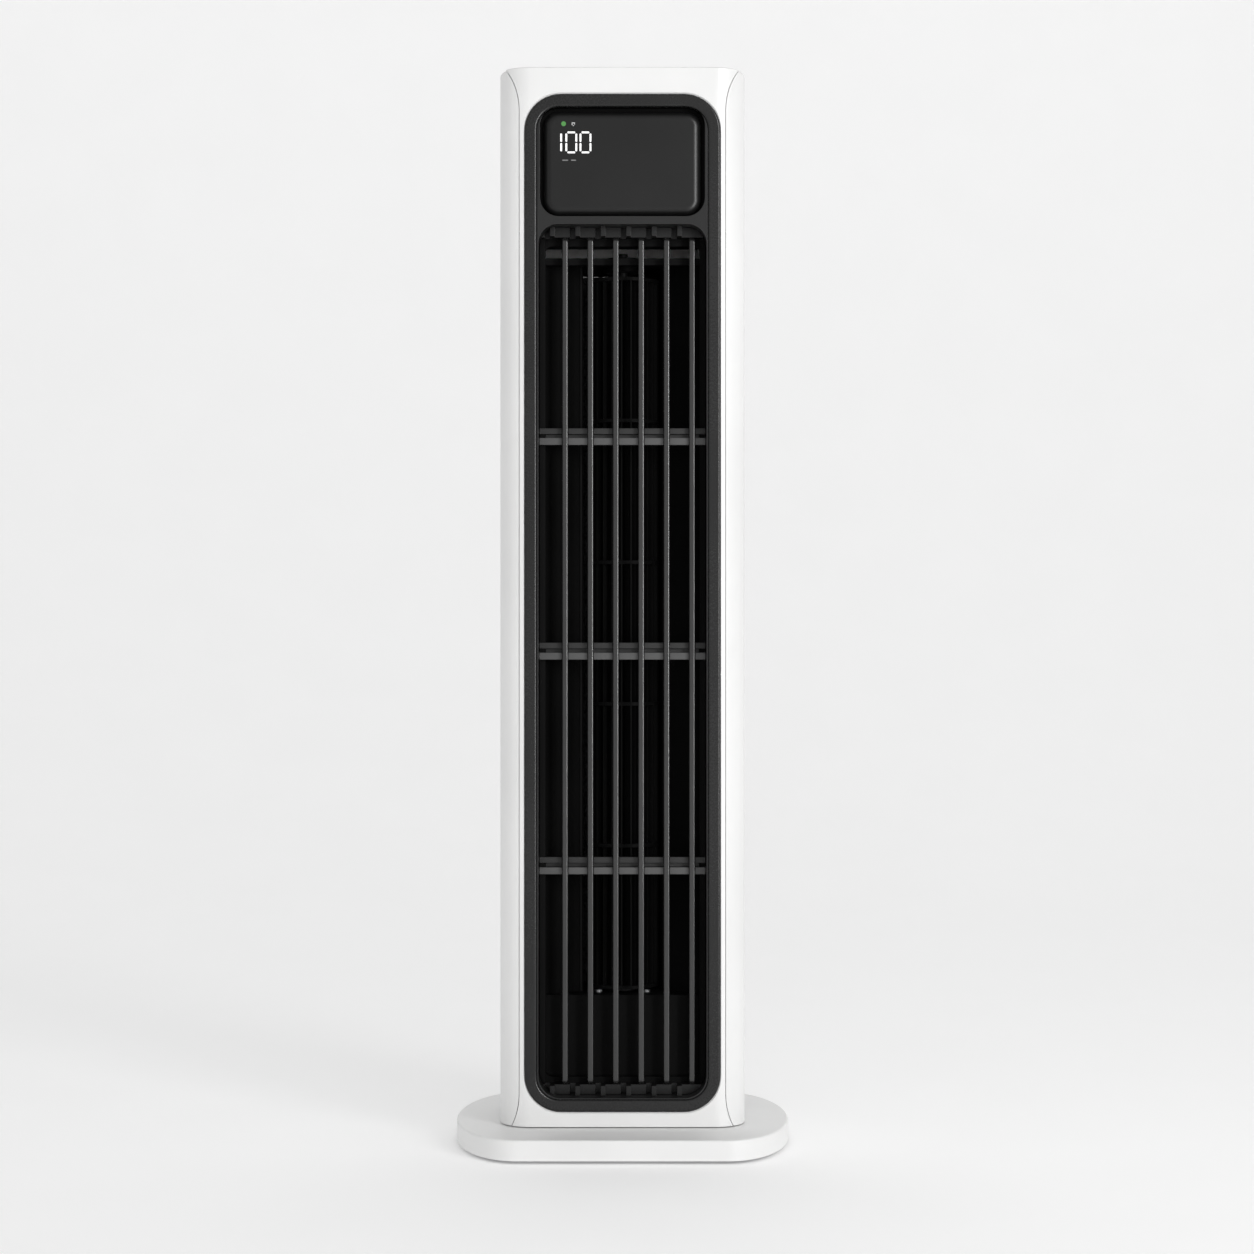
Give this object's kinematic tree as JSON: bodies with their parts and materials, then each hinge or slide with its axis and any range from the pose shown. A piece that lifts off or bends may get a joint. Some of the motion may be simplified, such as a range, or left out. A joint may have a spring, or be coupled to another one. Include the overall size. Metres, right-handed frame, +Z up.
{
  "type": "tower fan",
  "caption": "Upright tower fan: white swinging tower with a black framed outlet guard, display panel and cross-flow impeller on a flat weighted base.",
  "frame": {"origin": "middle of the base's footprint, on the surface it stands on; the swing axis passes through it", "axes": "+Z up, the outlet faces -Y, +X to the right seen from the front"},
  "size_m": [0.244, 0.187, 0.781],
  "materials": {
    "white_shell": "satin moulded white",
    "black_bezel": "satin gloss black",
    "black_satin": "satin black",
    "black_inner": "matt black",
    "grey_plastic": "moulded grey",
    "grey_rubber": "soft grey",
    "black_rubber": "soft black",
    "steel": "zinc plated",
    "bronze": "sintered",
    "gear_plastic": "acetal",
    "impeller_plastic": "moulded",
    "circuit_board": "laminate"
  },
  "bodies": {
    "base": {"base_cover": "white_shell", "base_plate": "grey_plastic", "base_weight": "steel", "rubber_feet": "grey_rubber", "base_screws": "steel", "pivot_post": "steel", "post_screws": "steel", "retainer_ring": "steel", "thrust_ring": "grey_plastic", "fixed_gear": "gear_plastic", "stop_arm": "grey_plastic", "cord_gland": "grey_plastic"},
    "tower": {"tower_floor": "grey_plastic", "rear_shell": "white_shell", "front_panel": "white_shell", "top_cap": "white_shell", "bezel": "black_bezel", "fascia": "black_satin", "display_panel": "black_bezel", "display_tray": "black_inner", "display_board": "circuit_board", "guard_slats": "black_satin", "guard_cross_ribs": "black_satin", "guard_side_rails": "black_satin", "guard_end_rails": "black_satin", "inner_frame": "black_inner", "lower_cover": "black_inner", "air_guide": "black_inner", "air_tongue": "black_inner", "top_bracket": "black_inner", "bearing_rubber": "black_rubber", "bearing_bush": "bronze", "motor_case": "steel", "motor_bracket": "black_inner", "motor_screws": "steel", "swing_bracket": "grey_plastic", "swing_motor": "steel", "swing_motor_screws": "steel", "head_plate": "black_inner", "power_board": "circuit_board", "power_capacitor": "steel", "rear_grille": "white_shell", "grille_screws": "steel", "filter_frame": "black_inner", "dust_filter": "black_inner"},
    "impeller": {"impeller_section_1": "impeller_plastic", "impeller_section_2": "impeller_plastic", "impeller_section_3": "impeller_plastic", "impeller_section_4": "impeller_plastic", "impeller_section_5": "impeller_plastic", "impeller_end_disc": "impeller_plastic", "top_axle": "steel", "impeller_hub": "black_rubber", "motor_rotor": "steel", "motor_shaft": "steel"},
    "pinion": {"swing_pinion": "gear_plastic", "swing_shaft": "steel"}
  },
  "joints": [
    {"name": "swing", "type": "hinge", "parent": "base", "child": "tower", "pos_m": [0, 0, 0.02], "axis": [0, 0, 1], "range_deg": [-40, 40]},
    {"name": "impeller_spin", "type": "hinge", "parent": "tower", "child": "impeller", "pos_m": [0, 0.01, 0.11], "axis": [0, 0, 1], "continuous": true},
    {"name": "pinion_spin", "type": "hinge", "parent": "tower", "child": "pinion", "pos_m": [0.0375, 0, 0.03], "axis": [0, 0, 1], "range_deg": [-165, 165]}
  ],
  "couplings": [
    {"joint": "pinion_spin", "follows": "swing", "ratio": 4}
  ]
}
